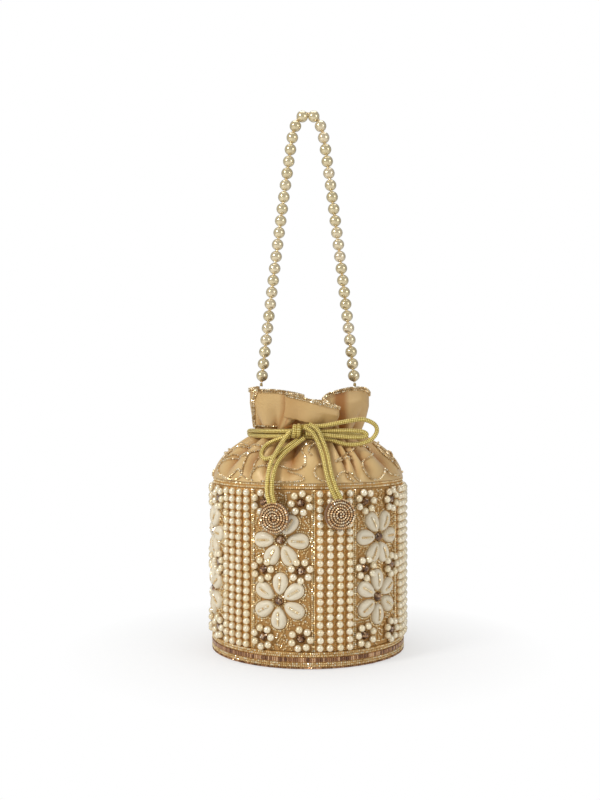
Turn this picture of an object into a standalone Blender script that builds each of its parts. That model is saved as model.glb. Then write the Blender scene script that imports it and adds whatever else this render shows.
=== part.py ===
"""Potli bag: a round drawstring pouch with a stiff beaded body, a gathered satin neck
and a carrying loop of strung pearls.

Lengths are in metres and +Z is up. The front of the bag faces -Y, and the origin is the
middle of the underside. Angles round the bag start at the front and grow towards +X.
"""

import math

import bmesh
import bpy
from mathutils import Matrix, Vector
from mathutils.geometry import interpolate_bezier

# General
SEGMENTS = 40            # facets round every turned piece
GAP = 0.0003             # clearance between pieces that touch

# Stiff body: a card disc, a card ring on it and a cloth lining inside
BASE_THICK = 0.0020
WALL_RADIUS = 0.0635
WALL_THICK = 0.0016
LINING_THICK = 0.0008

# Beaded band round the foot
BAND_BOTTOM = 0.0004
BAND_HEIGHT = 0.0106
BAND_DEPTH = 0.0033
BAND_SWELL = 0.0004      # how far its middle stands out of its edges

# Embroidered panels: stripes of strung pearls and panels of shell flowers, by turns
REPEATS = 6
FIRST_PEARL_PANEL = math.radians(14.6)
PEARL_PANEL_ARC = math.radians(24)
BACKING_THICK = 0.0010
PEARL_COLUMNS = 4
PEARL_ROWS = 21
PEARL_PITCH = 0.0049
PEARL_STAND = 0.0045     # how far a pearl stands out of its cloth
PEARL_TOP = 0.0022       # length of the facet edge on a pearl's crown
FLOWER_FACETS = 4
SHELL_LENGTH = 0.0140
SHELL_WIDTH = 0.0101
SHELL_HEIGHT = 0.0036
SHELL_RIDGE = 0.55       # half length of the slit's ridge, as a share of half the shell
FLOWER_RING = 0.0112     # middle of a shell from the middle of its flower
# Height of each flower as a share of the panel, and the directions of its shells in degrees
FLOWERS = ((0.69, (0, 60, 120, 180, 243, 297)), (0.31, (30, 90, 150, 210, 270, 330)))
GEM_RADIUS = 0.0030
GEM_HEIGHT = 0.0027
ROSETTE_SHARES = (0.08, 0.50, 0.92)
ROSETTE_SPREAD = 0.0124  # middle of a rosette from the middle of its panel
ROSETTE_PEARLS = 7
ROSETTE_RADIUS = 0.0082
ROSETTE_CROWN = 0.0064   # radius at the top of its ring of pearls
ROSETTE_HEIGHT = 0.0044
ROSETTE_DIP = 0.0020     # how far the gem lies below the pearls
MOTIF_SINK = 0.0007      # how deep shells and rosettes are seated in the backing

# Two rows of seed beads round the top of the wall
TRIM_HEIGHT = 0.0052
TRIM_DEPTH = 0.0026
TRIM_SWELL = 0.0008

# Gathered satin collar: shoulder, drawn neck and ruffle
CLOTH_THICK = 0.0009
HEM_THICK = 0.0022
HEM_ROW = 0.0034
NECK_RADIUS = 0.0357
NECK_HEIGHT = 0.1487
RUFFLE_RADIUS = 0.0396
PLEAT_DEPTH = 0.0034     # from a pleat's crest to its valley, where the cord draws it in
# Height and radius of the shoulder as shares of the way to the neck, with the pleats' share
SHOULDER = ((0.0, 1.00, 0.0), (0.21, 0.93, 0.13), (0.42, 0.78, 0.38),
            (0.62, 0.56, 0.69), (0.82, 0.28, 1.0), (1.0, 0.02, 1.0))
# Height of the ruffle's rows as shares of the way to the hem, with the hem's fold and the
# pleats' depth as shares
RUFFLE = ((0.0, 0.0, 0.8), (0.22, 0.45, 0.5), (0.48, 0.80, 0.15), (0.76, 1.0, 0.0))
# The cloth's creases and crests by turns, from the back round to the back: each one's angle
# in degrees, and where its hem stands, outwards from the ruffle's radius and below the peaks
FOLDS = ((-178, 0.0014, 0.0110), (-162, -0.0031, 0.0114), (-148, -0.0051, 0.0104),
         (-134, 0.0019, 0.0080), (-120, 0.0050, 0.0050), (-106, -0.0001, 0.0028),
         (-90, -0.0052, 0.0), (-80, -0.0021, 0.0016), (-68, 0.0040, 0.0028),
         (-57, 0.0048, 0.0034), (-47, 0.0010, 0.0036), (-38, -0.0026, 0.0034),
         (-31, -0.0020, 0.0036), (-26, 0.0030, 0.0040), (-21, 0.0056, 0.0044),
         (-11, 0.0058, 0.0068), (1, 0.0058, 0.0094), (11, 0.0057, 0.0120),
         (19, 0.0054, 0.0142), (23, 0.0034, 0.0142), (26, -0.0002, 0.0110),
         (29, -0.0026, 0.0080), (33, -0.0028, 0.0050), (38, -0.0016, 0.0032),
         (46, 0.0016, 0.0008), (57, 0.0052, 0.0008), (69, 0.0044, 0.0034),
         (79, -0.0020, 0.0024), (90, -0.0052, 0.0), (103, -0.0026, 0.0024),
         (117, 0.0040, 0.0056), (131, 0.0034, 0.0084), (146, -0.0042, 0.0114),
         (163, -0.0036, 0.0116))

# Pearl carrying loop, sewn to the hem's two peaks
ANCHOR_INSET = 0.0069    # of the knots from the ruffle's radius
ANCHOR_HEIGHT = 0.1810
THREAD_KNOT = 0.0014
HANDLE_TOP = 0.3710
HANDLE_CROWN = (0.0114, 0.0182)    # half width and drop of the rounded top
HANDLE_CROWN_PULL = (0.0068, 0.0094, 0.0070)
HANDLE_SIDE_PULL = (0.0196, 0.0745, 0.0061, 0.0560)
HANDLE_PEARL = 0.0041
HANDLE_THREAD = 0.0009
HANDLE_PITCH = 0.00845   # nearly touching; evened out to a whole number of pearls

# Drawcord, its knot and the beaded discs on its ends
CORD = 0.00145
KNOT_SIZE = Vector((0.0044, 0.0034, 0.0044))
KNOT_PLACE = Vector((-0.0072, -0.0445, 0.1512))
DISC_RADIUS = 0.0092
DISC_THICK = 0.0048
DISC_CLEAR = 0.0005
DISC_BACK = 0.94         # radius of the disc's front as a share of its back
DISC_COILS = ((0.22, 0.10), (0.20, -0.12), (0.22, 0.16))   # steps of its face, as shares
LEFT_DISC = (math.radians(-17.7), 0.0967)
RIGHT_DISC = (math.radians(15.7), 0.0992)

# Sizes that follow from the ones above
FACE_RADIUS = WALL_RADIUS + GAP + BACKING_THICK
BAND_TOP = BAND_BOTTOM + BAND_HEIGHT
PANEL_BOTTOM = BAND_TOP + GAP
PANEL_TOP = PANEL_BOTTOM + PEARL_ROWS * PEARL_PITCH
TRIM_BOTTOM = PANEL_TOP + GAP
WALL_TOP = TRIM_BOTTOM + TRIM_HEIGHT
PEARL_RADIUS = FACE_RADIUS + PEARL_STAND
FLOWER_PANEL_ARC = 2 * math.pi / REPEATS - PEARL_PANEL_ARC
COLLAR_FOOT = WALL_TOP + GAP + CLOTH_THICK / 3
ANCHOR_X = RUFFLE_RADIUS - ANCHOR_INSET


# Fresh scene with one collection for the bag
for old in list(bpy.data.objects):
    bpy.data.objects.remove(old)
bag = bpy.data.collections.new("potli_bag")
bpy.context.scene.collection.children.link(bag)
guides = bpy.data.collections.new("guides")
bpy.context.scene.collection.children.link(guides)


def finish(name, color, roughness, metallic=0.0):
    """A Principled material."""
    made = bpy.data.materials.new(name)
    made.use_nodes = True
    shader = made.node_tree.nodes["Principled BSDF"]
    shader.inputs["Base Color"].default_value = (*color, 1)
    shader.inputs["Roughness"].default_value = roughness
    shader.inputs["Metallic"].default_value = metallic
    return made


satin = finish("champagne_satin", (0.62, 0.44, 0.24), 0.45)
lining_cloth = finish("lining_cloth", (0.55, 0.40, 0.24), 0.7)
card = finish("card", (0.55, 0.45, 0.32), 0.8)
ivory_pearl = finish("ivory_pearl", (0.85, 0.78, 0.62), 0.25)
cowrie = finish("cowrie_shell", (0.88, 0.84, 0.74), 0.4)
gold_beads = finish("gold_seed_beads", (0.60, 0.46, 0.28), 0.3, 0.5)
handle_pearl = finish("handle_pearl", (0.66, 0.60, 0.42), 0.2)
gold_cord = finish("gold_cord", (0.56, 0.47, 0.14), 0.4, 0.3)


def add(name, mesh, material, collection=bag):
    """An object of this mesh, smooth apart from its sharp edges."""
    made = bpy.data.objects.new(name, mesh)
    collection.objects.link(made)
    mesh.materials.clear()
    mesh.materials.append(material)
    mesh.shade_smooth()
    mesh.set_sharp_from_angle(angle=math.radians(35))
    return made


def mesh_of(bm, name):
    """A mesh that holds what the bmesh holds."""
    mesh = bpy.data.meshes.new(name)
    bm.to_mesh(mesh)
    bm.free()
    return mesh


def round_point(angle, radius, height):
    """A point round the bag, from its angle, radius and height."""
    return Vector((radius * math.sin(angle), -radius * math.cos(angle), height))


def turned(name, outline, material):
    """A ring whose closed outline of (radius, height) points runs down its outer side."""
    mesh = bpy.data.meshes.new(name)
    count = len(outline)
    edges = [(i, (i + 1) % count) for i in range(count)]
    mesh.from_pydata([(radius, 0, height) for radius, height in outline], edges, [])
    made = add(name, mesh, material)
    screw = made.modifiers.new("turn", "SCREW")
    screw.angle = 2 * math.pi
    screw.steps = SEGMENTS
    screw.render_steps = SEGMENTS
    screw.use_merge_vertices = True
    screw.merge_threshold = 0.0001
    return made


def bend(bm, centre, radius):
    """Wraps a flat strip (x along the wall, y up, z outwards) round the bag."""
    for vert in bm.verts:
        along, up, out = vert.co
        vert.co = round_point(centre + along / FACE_RADIUS, radius + out, up)


def backing(width, columns):
    """A flat strip of stiffened cloth, as wide as its panel and as tall as the pearl rows."""
    bm = bmesh.new()
    bmesh.ops.create_grid(bm, x_segments=columns, y_segments=1, size=0.5)
    height = PANEL_TOP - PANEL_BOTTOM
    bmesh.ops.scale(bm, vec=(width, height, 1), verts=bm.verts)
    bmesh.ops.translate(bm, vec=(0, PANEL_BOTTOM + height / 2, 0), verts=bm.verts)
    grown = bmesh.ops.extrude_face_region(bm, geom=bm.faces[:])
    raised = [item for item in grown["geom"] if isinstance(item, bmesh.types.BMVert)]
    bmesh.ops.translate(bm, vec=(0, 0, BACKING_THICK), verts=raised)
    bmesh.ops.recalc_face_normals(bm, faces=bm.faces)
    return bm


def backing_radius(arc, columns):
    """Inner radius at a strip's corners, so that its flat facets clear the wall."""
    return (WALL_RADIUS + GAP) / math.cos(arc / columns / 2)


def pearl_panel(name, centre):
    """Strings of pearls sewn side by side, each pearl a faceted bead on its cloth."""
    bm = backing(PEARL_PANEL_ARC * FACE_RADIUS - GAP, PEARL_COLUMNS)
    uprights = [edge for edge in bm.edges
                if all(vert.co.z > BACKING_THICK / 2 for vert in edge.verts)
                and abs(edge.verts[0].co.x - edge.verts[1].co.x) < GAP]
    bmesh.ops.subdivide_edges(bm, edges=uprights, cuts=PEARL_ROWS - 1, use_grid_fill=True)
    beads = [face for face in bm.faces if face.normal.z > 0.5]
    bmesh.ops.inset_individual(bm, faces=beads, thickness=(PEARL_PITCH - PEARL_TOP) / 2,
                               depth=PEARL_STAND)
    for face in beads:
        middle = face.calc_center_median().x
        for vert in face.verts:
            vert.co.x = middle
    crowns = list({vert for face in beads for vert in face.verts})
    bmesh.ops.remove_doubles(bm, verts=crowns, dist=0.00001)
    bend(bm, centre, backing_radius(PEARL_PANEL_ARC, PEARL_COLUMNS))
    return add(name, mesh_of(bm, name), ivory_pearl)


def seat(angle, height):
    """The frame of a motif on the wall: its X runs round the bag and its Z points out."""
    along = Vector((math.cos(angle), math.sin(angle), 0))
    out = round_point(angle, 1, 0)
    base = round_point(angle, FACE_RADIUS - MOTIF_SINK, height)
    turn = Matrix((along, Vector((0, 0, 1)), out)).transposed().to_4x4()
    return Matrix.Translation(base) @ turn


def stud(bm, place, sides, bottom, top, height, ridge=0.0, dip=0.0):
    """A faceted boss on the plane that the place gives; a ridge or a dip shapes its top."""
    rise = height + MOTIF_SINK
    made = bmesh.new()
    bmesh.ops.create_cone(made, cap_ends=True, segments=sides, radius1=bottom, radius2=top,
                          depth=rise)
    if ridge:
        crown = [vert for vert in made.verts if vert.co.z > 0]
        for vert in crown:
            vert.co = (math.copysign(ridge, vert.co.x), 0, vert.co.z)
        bmesh.ops.remove_doubles(made, verts=crown, dist=0.00001)
    if dip:
        top_face = max(made.faces, key=lambda face: face.calc_center_median().z)
        bmesh.ops.inset_region(made, faces=[top_face], thickness=top * 0.45, depth=-dip)
    made.transform(place @ Matrix.Translation((0, 0, rise / 2)))
    mesh = mesh_of(made, "stud")
    bm.from_mesh(mesh)
    bpy.data.meshes.remove(mesh)


def flower(bm, angle, height, directions):
    """Six cowries round a gem."""
    place = seat(angle, height)
    stud(bm, place, 6, GEM_RADIUS, GEM_RADIUS * 0.6, GEM_HEIGHT)
    stretch = Matrix.Diagonal((SHELL_LENGTH / 2, SHELL_WIDTH / 2, 1, 1))
    for direction in directions:
        turn = Matrix.Rotation(math.radians(direction), 4, "Z")
        stud(bm, place @ turn @ Matrix.Translation((FLOWER_RING, 0, 0)) @ stretch,
             6, 1.0, 0.5, SHELL_HEIGHT, ridge=SHELL_RIDGE)


def flower_panel(name, centre):
    """Two shell flowers and six pearl rosettes on embroidered cloth."""
    bm = backing(FLOWER_PANEL_ARC * FACE_RADIUS - GAP, FLOWER_FACETS)
    bend(bm, centre, backing_radius(FLOWER_PANEL_ARC, FLOWER_FACETS))
    panel = add(name, mesh_of(bm, name), cowrie)
    height = PANEL_TOP - PANEL_BOTTOM
    motifs = bmesh.new()
    for share, directions in FLOWERS:
        flower(motifs, centre, PANEL_BOTTOM + share * height, directions)
    for share in ROSETTE_SHARES:
        for side in (-ROSETTE_SPREAD, ROSETTE_SPREAD):
            place = seat(centre + side / FACE_RADIUS, PANEL_BOTTOM + share * height)
            stud(motifs, place, ROSETTE_PEARLS, ROSETTE_RADIUS, ROSETTE_CROWN,
                 ROSETTE_HEIGHT, dip=ROSETTE_DIP)
    cutter = add(name + "_motifs", mesh_of(motifs, name + "_motifs"), cowrie, guides)
    cutter.hide_render = True
    cutter.display_type = "WIRE"
    join = panel.modifiers.new("motifs", "BOOLEAN")
    join.operation = "UNION"
    join.use_self = True
    join.object = cutter
    return panel


def collar_point(row, column):
    """A point of the satin's outer face, on one of its rows from the wall to the hem."""
    degrees, out, drop = FOLDS[column % len(FOLDS)]
    angle = math.radians(degrees)
    pleat = (0.38 if column % 2 == 0 else -0.62) * PLEAT_DEPTH
    below = NECK_HEIGHT - CORD
    above = NECK_HEIGHT + CORD
    wall_edge = WALL_RADIUS + GAP
    hem = ANCHOR_HEIGHT - drop
    hem_radius = RUFFLE_RADIUS + out
    if row < len(SHOULDER):
        rise, share, gather = SHOULDER[row]
        return round_point(angle, NECK_RADIUS + share * (wall_edge - NECK_RADIUS)
                           + gather * pleat, COLLAR_FOOT + rise * (below - COLLAR_FOOT))
    row -= len(SHOULDER)
    if row < len(RUFFLE):
        rise, share, gather = RUFFLE[row]
        return round_point(angle, NECK_RADIUS + share * (hem_radius - NECK_RADIUS)
                           + gather * pleat, above + rise * (hem - HEM_ROW - above))
    return round_point(angle, hem_radius, hem - HEM_ROW if row == len(RUFFLE) else hem)


def collar():
    """The satin collar, one sheet gathered at the neck, thicker at its beaded hem."""
    rows = len(SHOULDER) + len(RUFFLE) + 2
    bm = bmesh.new()
    rings = [[bm.verts.new(collar_point(row, column)) for column in range(len(FOLDS))]
             for row in range(rows)]
    for lower, upper in zip(rings, rings[1:]):
        for i in range(len(FOLDS)):
            j = (i + 1) % len(FOLDS)
            bm.faces.new((lower[i], lower[j], upper[j], upper[i]))
    made = add("satin_collar", mesh_of(bm, "satin_collar"), satin)
    weights = made.vertex_groups.new(name="thickness")
    last = (rows - 1) * len(FOLDS)
    weights.add(range(last), CLOTH_THICK / HEM_THICK, "REPLACE")
    weights.add(range(last, last + len(FOLDS)), 1.0, "REPLACE")
    shell = made.modifiers.new("cloth", "SOLIDIFY")
    shell.thickness = HEM_THICK
    shell.offset = -1
    shell.vertex_group = "thickness"
    return made


def tube(name, points, radius, material, swell=None, sides=2):
    """A cord through these points; swell scales its thickness point by point."""
    line = bpy.data.curves.new(name, "CURVE")
    line.dimensions = "3D"
    line.bevel_depth = radius
    line.bevel_resolution = sides
    line.use_fill_caps = True
    spline = line.splines.new("POLY")
    spline.points.add(len(points) - 1)
    for index, point in enumerate(points):
        spline.points[index].co = (*point, 1)
        if swell:
            spline.points[index].radius = swell[index]
    line.materials.append(material)
    made = bpy.data.objects.new(name, line)
    bag.objects.link(made)
    return made


def even_points(path, spacing, start=0.0):
    """Points at an even spacing along a fine polyline, from a distance start onwards."""
    found, due, gone = [], start, 0.0
    for a, b in zip(path, path[1:]):
        length = (b - a).length
        while length > 0 and due <= gone + length:
            found.append(a.lerp(b, (due - gone) / length))
            due += spacing
        gone += length
    return found


def smooth_path(route, fine=12):
    """A smooth curve through hand-chosen route points."""
    points = [Vector(point) for point in route]
    slopes = [points[1] - points[0]]
    slopes += [(b - a) / 2 for a, b in zip(points, points[2:])]
    slopes.append(points[-1] - points[-2])
    path = []
    for i in range(len(points) - 1):
        path += interpolate_bezier(points[i], points[i] + slopes[i] / 3,
                                   points[i + 1] - slopes[i + 1] / 3, points[i + 1], fine)[:-1]
    return path + [points[-1]]


def length_of(path):
    return sum((b - a).length for a, b in zip(path, path[1:]))


def cord(name, route):
    """A free stretch of drawcord along its route, a point every two to three diameters."""
    path = smooth_path(route)
    whole = length_of(path)
    steps = math.ceil(whole / (4.6 * CORD))
    points = even_points(path, whole / steps * 0.99999)
    return tube(name, points, CORD, gold_cord)


def handle():
    """Pearls strung on one thread, from the hem's left peak over the top to the right one."""
    knot = ANCHOR_HEIGHT + THREAD_KNOT + GAP
    width, drop = HANDLE_CROWN
    flat, round_out, round_down = HANDLE_CROWN_PULL
    upper_out, upper_down, lower_in, lower_up = HANDLE_SIDE_PULL
    crown = interpolate_bezier((0, 0, HANDLE_TOP), (flat, 0, HANDLE_TOP),
                               (round_out, 0, HANDLE_TOP - round_down),
                               (width, 0, HANDLE_TOP - drop), 24)
    side = interpolate_bezier((width, 0, HANDLE_TOP - drop), (upper_out, 0, HANDLE_TOP - upper_down),
                              (ANCHOR_X - lower_in, 0, knot + lower_up), (ANCHOR_X, 0, knot), 60)
    path = crown[:-1] + side
    last = length_of(path) - THREAD_KNOT - GAP - HANDLE_PEARL
    beads = round(last / HANDLE_PITCH + 0.5)
    pitch = last / (beads - 0.5)
    waist = HANDLE_THREAD / HANDLE_PEARL
    half = []
    for bead in range(beads):
        half += [((bead + 0.5) * pitch, 1.0), ((bead + 1) * pitch, waist)]
    half[-1] = (last + HANDLE_PEARL, waist)
    right = [(even_points(path, 1.0, place)[0], swell) for place, swell in half]
    left = [(Vector((-point.x, point.y, point.z)), swell) for point, swell in reversed(right)]
    strand = left + [(Vector(path[0]), waist)] + right
    return tube("pearl_handle", [point for point, swell in strand], HANDLE_PEARL,
                handle_pearl, [swell for point, swell in strand], sides=1)


def thread_knot(name, side):
    """The sewn knot that ties one end of the strand to the hem."""
    bm = bmesh.new()
    place = Matrix.Translation((side * ANCHOR_X, 0, ANCHOR_HEIGHT + THREAD_KNOT + GAP))
    bmesh.ops.create_uvsphere(bm, u_segments=8, v_segments=5, radius=THREAD_KNOT, matrix=place)
    return add(name, mesh_of(bm, name), gold_cord)


def beaded_disc(name, place):
    """A flat round of seed beads coiled on a felt disc, hanging on the drawcord's end."""
    angle, height = place
    bm = bmesh.new()
    bmesh.ops.create_cone(bm, cap_ends=True, segments=20, radius1=DISC_RADIUS,
                          radius2=DISC_RADIUS * DISC_BACK, depth=DISC_THICK)
    front = [face for face in bm.faces if face.normal.z > 0.5]
    for width, depth in DISC_COILS:
        bmesh.ops.inset_region(bm, faces=front, thickness=width * DISC_RADIUS,
                               depth=depth * DISC_THICK)
    radius = PEARL_RADIUS + DISC_CLEAR + DISC_THICK / 2
    along = Vector((math.cos(angle), math.sin(angle), 0))
    turn = Matrix((along, Vector((0, 0, 1)), round_point(angle, 1, 0))).transposed().to_4x4()
    bm.transform(Matrix.Translation(round_point(angle, radius, height)) @ turn)
    return add(name, mesh_of(bm, name), gold_beads)


# Card base, card wall and cloth lining
bm = bmesh.new()
bmesh.ops.create_cone(bm, cap_ends=True, segments=SEGMENTS, radius1=WALL_RADIUS,
                      radius2=WALL_RADIUS, depth=BASE_THICK,
                      matrix=Matrix.Translation((0, 0, BASE_THICK / 2)))
add("base_disc", mesh_of(bm, "base_disc"), card)

wall_bottom = BASE_THICK + GAP
wall_inner = WALL_RADIUS - WALL_THICK
turned("body_wall", ((wall_inner, WALL_TOP), (WALL_RADIUS, WALL_TOP),
                     (WALL_RADIUS, wall_bottom), (wall_inner, wall_bottom)), card)

bm = bmesh.new()
bmesh.ops.create_circle(bm, cap_ends=True, segments=SEGMENTS, radius=wall_inner - GAP,
                        matrix=Matrix.Translation((0, 0, wall_bottom)))
rim = bmesh.ops.extrude_edge_only(bm, edges=bm.edges[:])
raised = [item for item in rim["geom"] if isinstance(item, bmesh.types.BMVert)]
bmesh.ops.translate(bm, vec=(0, 0, WALL_TOP - wall_bottom), verts=raised)
bmesh.ops.recalc_face_normals(bm, faces=bm.faces)
lining = add("lining_cup", mesh_of(bm, "lining_cup"), lining_cloth)
shell = lining.modifiers.new("cloth", "SOLIDIFY")
shell.thickness = LINING_THICK

# Beaded bands round the foot and the top of the wall
inner = WALL_RADIUS + GAP
outer = WALL_RADIUS + BAND_DEPTH
turned("base_band", ((inner, BAND_TOP), (outer - BAND_SWELL, BAND_TOP),
                     (outer, BAND_BOTTOM + BAND_HEIGHT / 2),
                     (outer - BAND_SWELL, BAND_BOTTOM), (inner, BAND_BOTTOM)), gold_beads)

outer = WALL_RADIUS + TRIM_DEPTH
turned("shoulder_trim", ((inner, WALL_TOP), (outer - TRIM_SWELL, WALL_TOP),
                         (outer, TRIM_BOTTOM + TRIM_HEIGHT / 2),
                         (outer - TRIM_SWELL, TRIM_BOTTOM), (inner, TRIM_BOTTOM)), gold_beads)

# Embroidered panels round the wall
for number in range(REPEATS):
    centre = FIRST_PEARL_PANEL + 2 * math.pi * number / REPEATS
    pearl_panel(f"pearl_panel_{number + 1}", centre)
    flower_panel(f"flower_panel_{number + 1}", centre + math.pi / REPEATS)

# Collar and carrying loop
collar()
handle()
thread_knot("left_thread_knot", -1)
thread_knot("right_thread_knot", 1)

# Drawcord: round the neck, tied at the front in a bow whose ends carry the discs
ring_radius = NECK_RADIUS + 0.0019 + GAP + CORD
bpy.ops.mesh.primitive_torus_add(major_segments=SEGMENTS, minor_segments=6,
                                 major_radius=ring_radius, minor_radius=CORD,
                                 location=(0, 0, NECK_HEIGHT))
ring = bpy.context.object
ring.name = "neck_cord"
for home in list(ring.users_collection):
    home.objects.unlink(ring)
bag.objects.link(ring)
ring.data.materials.append(gold_cord)

bm = bmesh.new()
bmesh.ops.create_uvsphere(bm, u_segments=12, v_segments=8, radius=1,
                          matrix=Matrix.Translation(KNOT_PLACE) @ Matrix.Diagonal((*KNOT_SIZE, 1)))
add("bow_knot", mesh_of(bm, "bow_knot"), gold_cord)

beaded_disc("left_disc", LEFT_DISC)
beaded_disc("right_disc", RIGHT_DISC)

cord("left_tail_outer", ((-0.0123, -0.0462, 0.1508), (-0.0162, -0.0488, 0.1455),
                         (-0.0205, -0.0552, 0.1385), (-0.0243, -0.0618, 0.1312),
                         (-0.0262, -0.0652, 0.1215), (-0.0265, -0.0678, 0.1130),
                         (-0.0250, -0.0690, 0.1062)))
cord("left_tail_inner", ((-0.0028, -0.0478, 0.1466), (-0.0086, -0.0500, 0.1425),
                         (-0.0155, -0.0545, 0.1370), (-0.0205, -0.0600, 0.1305),
                         (-0.0230, -0.0662, 0.1215), (-0.0233, -0.0690, 0.1130),
                         (-0.0219, -0.0697, 0.1064)))
cord("left_loop", ((-0.0120, -0.0432, 0.1475), (-0.0190, -0.0425, 0.1460),
                   (-0.0275, -0.0430, 0.1420), (-0.0308, -0.0470, 0.1368),
                   (-0.0288, -0.0520, 0.1335), (-0.0232, -0.0537, 0.1347),
                   (-0.0150, -0.0500, 0.1402), (-0.0070, -0.0458, 0.1455)))
cord("right_tail_inner", ((-0.0030, -0.0480, 0.1540), (0.0020, -0.0492, 0.1510),
                          (0.0056, -0.0507, 0.1450), (0.0090, -0.0570, 0.1355),
                          (0.0112, -0.0660, 0.1245), (0.0140, -0.0708, 0.1155),
                          (0.0172, -0.0718, 0.1089)))
cord("right_tail_outer", ((0.0002, -0.0484, 0.1560), (0.0058, -0.0494, 0.1522),
                          (0.0092, -0.0508, 0.1450), (0.0123, -0.0565, 0.1358),
                          (0.0144, -0.0655, 0.1245), (0.0172, -0.0702, 0.1155),
                          (0.0204, -0.0709, 0.1089)))
cord("right_loop_large", ((-0.0028, -0.0445, 0.1545), (0.0080, -0.0450, 0.1545),
                          (0.0170, -0.0450, 0.1560), (0.0280, -0.0445, 0.1580),
                          (0.0365, -0.0425, 0.1586), (0.0435, -0.0405, 0.1555),
                          (0.0452, -0.0395, 0.1508), (0.0415, -0.0400, 0.1455),
                          (0.0330, -0.0418, 0.1425), (0.0240, -0.0435, 0.1425),
                          (0.0150, -0.0438, 0.1452), (0.0060, -0.0438, 0.1470),
                          (-0.0034, -0.0437, 0.1474)))
cord("right_loop_small", ((-0.0026, -0.0434, 0.1508), (0.0090, -0.0430, 0.1508),
                          (0.0200, -0.0430, 0.1513), (0.0290, -0.0420, 0.1513),
                          (0.0360, -0.0405, 0.1505), (0.0385, -0.0400, 0.1484),
                          (0.0350, -0.0410, 0.1470), (0.0280, -0.0428, 0.1470),
                          (0.0200, -0.0447, 0.1476), (0.0120, -0.0462, 0.1484),
                          (0.0050, -0.0464, 0.1490), (-0.0018, -0.0464, 0.1495)))
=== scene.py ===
"""Looks of a beaded potli bag: a round drawstring pouch with a gathered satin neck.

Lengths are in metres and +Z is up. The front of the bag faces -Y. Angles round the bag
start at the front and grow towards +X.
"""

import math

import bmesh
import bpy
import numpy as np
from mathutils import Matrix, Vector
from mathutils.geometry import interpolate_bezier


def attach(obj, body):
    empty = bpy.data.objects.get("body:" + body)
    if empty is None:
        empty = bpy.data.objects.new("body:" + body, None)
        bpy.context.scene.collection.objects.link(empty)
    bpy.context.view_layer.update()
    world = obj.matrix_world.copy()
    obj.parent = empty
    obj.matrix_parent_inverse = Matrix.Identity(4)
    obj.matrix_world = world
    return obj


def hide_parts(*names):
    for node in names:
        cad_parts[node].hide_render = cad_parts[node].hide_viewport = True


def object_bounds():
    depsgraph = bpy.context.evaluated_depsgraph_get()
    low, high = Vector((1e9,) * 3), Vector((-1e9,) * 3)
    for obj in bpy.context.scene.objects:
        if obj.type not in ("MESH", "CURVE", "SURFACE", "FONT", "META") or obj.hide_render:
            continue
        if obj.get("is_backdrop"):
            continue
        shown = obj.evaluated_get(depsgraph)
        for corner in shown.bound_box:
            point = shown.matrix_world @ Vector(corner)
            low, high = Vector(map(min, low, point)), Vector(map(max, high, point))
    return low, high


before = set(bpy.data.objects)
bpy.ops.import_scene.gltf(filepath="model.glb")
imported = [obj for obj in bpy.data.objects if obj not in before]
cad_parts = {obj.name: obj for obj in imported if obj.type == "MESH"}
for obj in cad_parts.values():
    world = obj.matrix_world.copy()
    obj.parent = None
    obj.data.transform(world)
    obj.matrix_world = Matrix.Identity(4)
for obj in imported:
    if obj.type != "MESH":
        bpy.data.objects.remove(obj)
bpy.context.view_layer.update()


# Table top and studio
# The bag stands on a white sheet of paper under large soft lamps. The paper and the
# room are white to the lens, and the paper keeps the soft shadow under the bag.
class Wire:
    """A shader socket that can stand in a sum with numbers and other sockets."""

    def __init__(self, finish, socket):
        self.finish, self.socket = finish, socket

    def maths(self, operation, other=0.0):
        return self.finish.node("Math", {"operation": operation}, {0: self, 1: other})

    def __add__(self, other):
        return self.maths("ADD", other)

    __radd__ = __add__

    def __sub__(self, other):
        return self.maths("SUBTRACT", other)

    def __mul__(self, other):
        return self.maths("MULTIPLY", other)

    def sine(self):
        return self.maths("SINE")


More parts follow.
